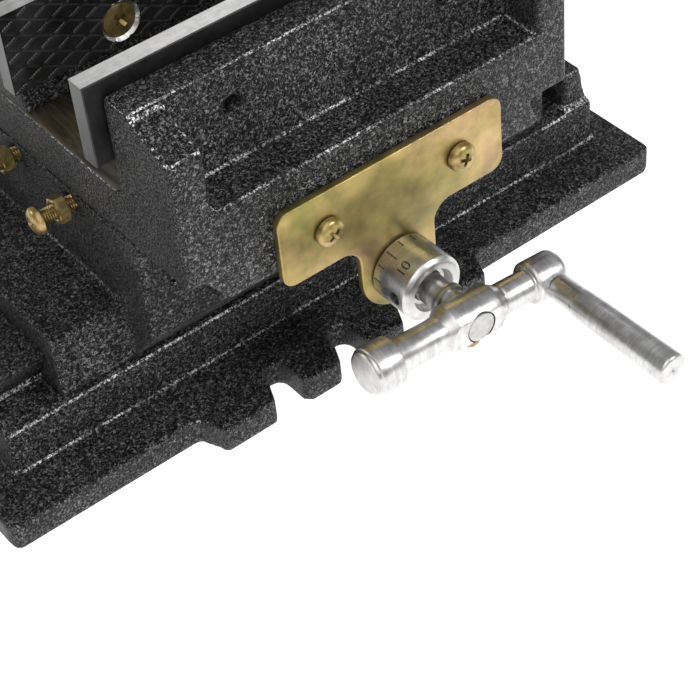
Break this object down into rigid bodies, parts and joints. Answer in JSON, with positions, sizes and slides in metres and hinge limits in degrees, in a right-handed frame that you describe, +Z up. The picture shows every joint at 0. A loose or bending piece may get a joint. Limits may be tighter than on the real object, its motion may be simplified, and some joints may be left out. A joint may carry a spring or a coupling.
{
  "type": "compound machine vise",
  "caption": "Machine vise on a two-axis dovetail cross slide, with a crank and dial on each lead screw, serrated steel jaw plates and a notched bolt-down base.",
  "frame": {"origin": "centre of the base's bottom face", "axes": "+X along the jaws, -Y towards the front crank, +Z up"},
  "size_m": [0.3398, 0.4652, 0.1398],
  "materials": {
    "hammertone_paint": "charcoal hammertone paint on cast iron",
    "yellow_zinc": "yellow zinc plate",
    "bright_steel": "bright turned steel",
    "ground_steel": "ground hardened steel",
    "bronze": "machined bronze"
  },
  "bodies": {
    "base": {"base_casting": "hammertone_paint", "lower_bracket_plate": "yellow_zinc", "lower_bracket_screw_1": "yellow_zinc", "lower_bracket_screw_2": "yellow_zinc"},
    "clamp_screw": {"clamp_crank_arm": "bright_steel", "clamp_crank_grip": "bright_steel", "clamp_crank_set_screw": "yellow_zinc", "clamp_lead_screw": "bright_steel"},
    "vise_body": {"clamp_screw_nut": "bronze", "fixed_jaw_plate": "ground_steel", "fixed_plate_screw_1": "yellow_zinc", "fixed_plate_screw_2": "yellow_zinc", "upper_bracket_plate": "yellow_zinc", "upper_bracket_screw_1": "yellow_zinc", "upper_bracket_screw_2": "yellow_zinc", "vise_body_casting": "hammertone_paint"},
    "moving_jaw": {"jaw_keeper_bolt_1": "ground_steel", "jaw_keeper_bolt_2": "ground_steel", "jaw_keeper_plate": "ground_steel", "moving_jaw_casting": "hammertone_paint", "moving_jaw_plate": "ground_steel", "moving_plate_screw_1": "yellow_zinc", "moving_plate_screw_2": "yellow_zinc", "screw_retainer_plate": "yellow_zinc", "screw_retainer_screw_1": "yellow_zinc", "screw_retainer_screw_2": "yellow_zinc"},
    "lower_screw": {"lower_collar_grub_screw": "bright_steel", "lower_crank_arm": "bright_steel", "lower_crank_grip": "bright_steel", "lower_crank_set_screw": "yellow_zinc", "lower_dial_collar": "bright_steel", "lower_lead_screw": "bright_steel"},
    "saddle": {"lower_gib_lock_nut_1": "yellow_zinc", "lower_gib_lock_nut_2": "yellow_zinc", "lower_gib_lock_nut_3": "yellow_zinc", "lower_gib_screw_1": "yellow_zinc", "lower_gib_screw_2": "yellow_zinc", "lower_gib_screw_3": "yellow_zinc", "lower_gib_strip": "ground_steel", "lower_lead_nut": "bronze", "lower_nut_screw_1": "ground_steel", "lower_nut_screw_2": "ground_steel", "saddle_casting": "hammertone_paint", "upper_gib_lock_nut_1": "yellow_zinc", "upper_gib_lock_nut_2": "yellow_zinc", "upper_gib_lock_nut_3": "yellow_zinc", "upper_gib_screw_1": "yellow_zinc", "upper_gib_screw_2": "yellow_zinc", "upper_gib_screw_3": "yellow_zinc", "upper_gib_strip": "ground_steel", "upper_lead_nut": "bronze", "upper_nut_screw_1": "ground_steel", "upper_nut_screw_2": "ground_steel"},
    "upper_screw": {"upper_collar_grub_screw": "bright_steel", "upper_crank_arm": "bright_steel", "upper_crank_grip": "bright_steel", "upper_crank_set_screw": "yellow_zinc", "upper_dial_collar": "bright_steel", "upper_lead_screw": "bright_steel"}
  },
  "joints": [
    {"name": "x_slide", "type": "slide", "parent": "base", "child": "saddle", "axis": [1, 0, 0], "range_m": [-0.045, 0.0095]},
    {"name": "y_slide", "type": "slide", "parent": "saddle", "child": "vise_body", "axis": [0, 1, 0], "range_m": [-0.07, 0.016]},
    {"name": "jaw_slide", "type": "slide", "parent": "vise_body", "child": "moving_jaw", "axis": [0, 1, 0], "range_m": [-0.0365, 0.095]},
    {"name": "lower_crank_turn", "type": "hinge", "parent": "base", "child": "lower_screw", "pos_m": [-0.12, 0, 0.028], "axis": [-1, 0, 0], "range_deg": [-5401, 1141]},
    {"name": "upper_crank_turn", "type": "hinge", "parent": "vise_body", "child": "upper_screw", "pos_m": [0, -0.0955, 0.0511], "axis": [0, -1, 0], "range_deg": [-1921, 8401]},
    {"name": "clamp_crank_turn", "type": "hinge", "parent": "moving_jaw", "child": "clamp_screw", "pos_m": [0, 0.032, 0.115], "axis": [0, 1, 0], "range_deg": [-3286, 8551]}
  ],
  "couplings": [
    {"joint": "lower_crank_turn", "follows": "x_slide", "rad_per_m": 2094.4},
    {"joint": "upper_crank_turn", "follows": "y_slide", "rad_per_m": -2094.4},
    {"joint": "clamp_crank_turn", "follows": "jaw_slide", "rad_per_m": 1570.8}
  ]
}
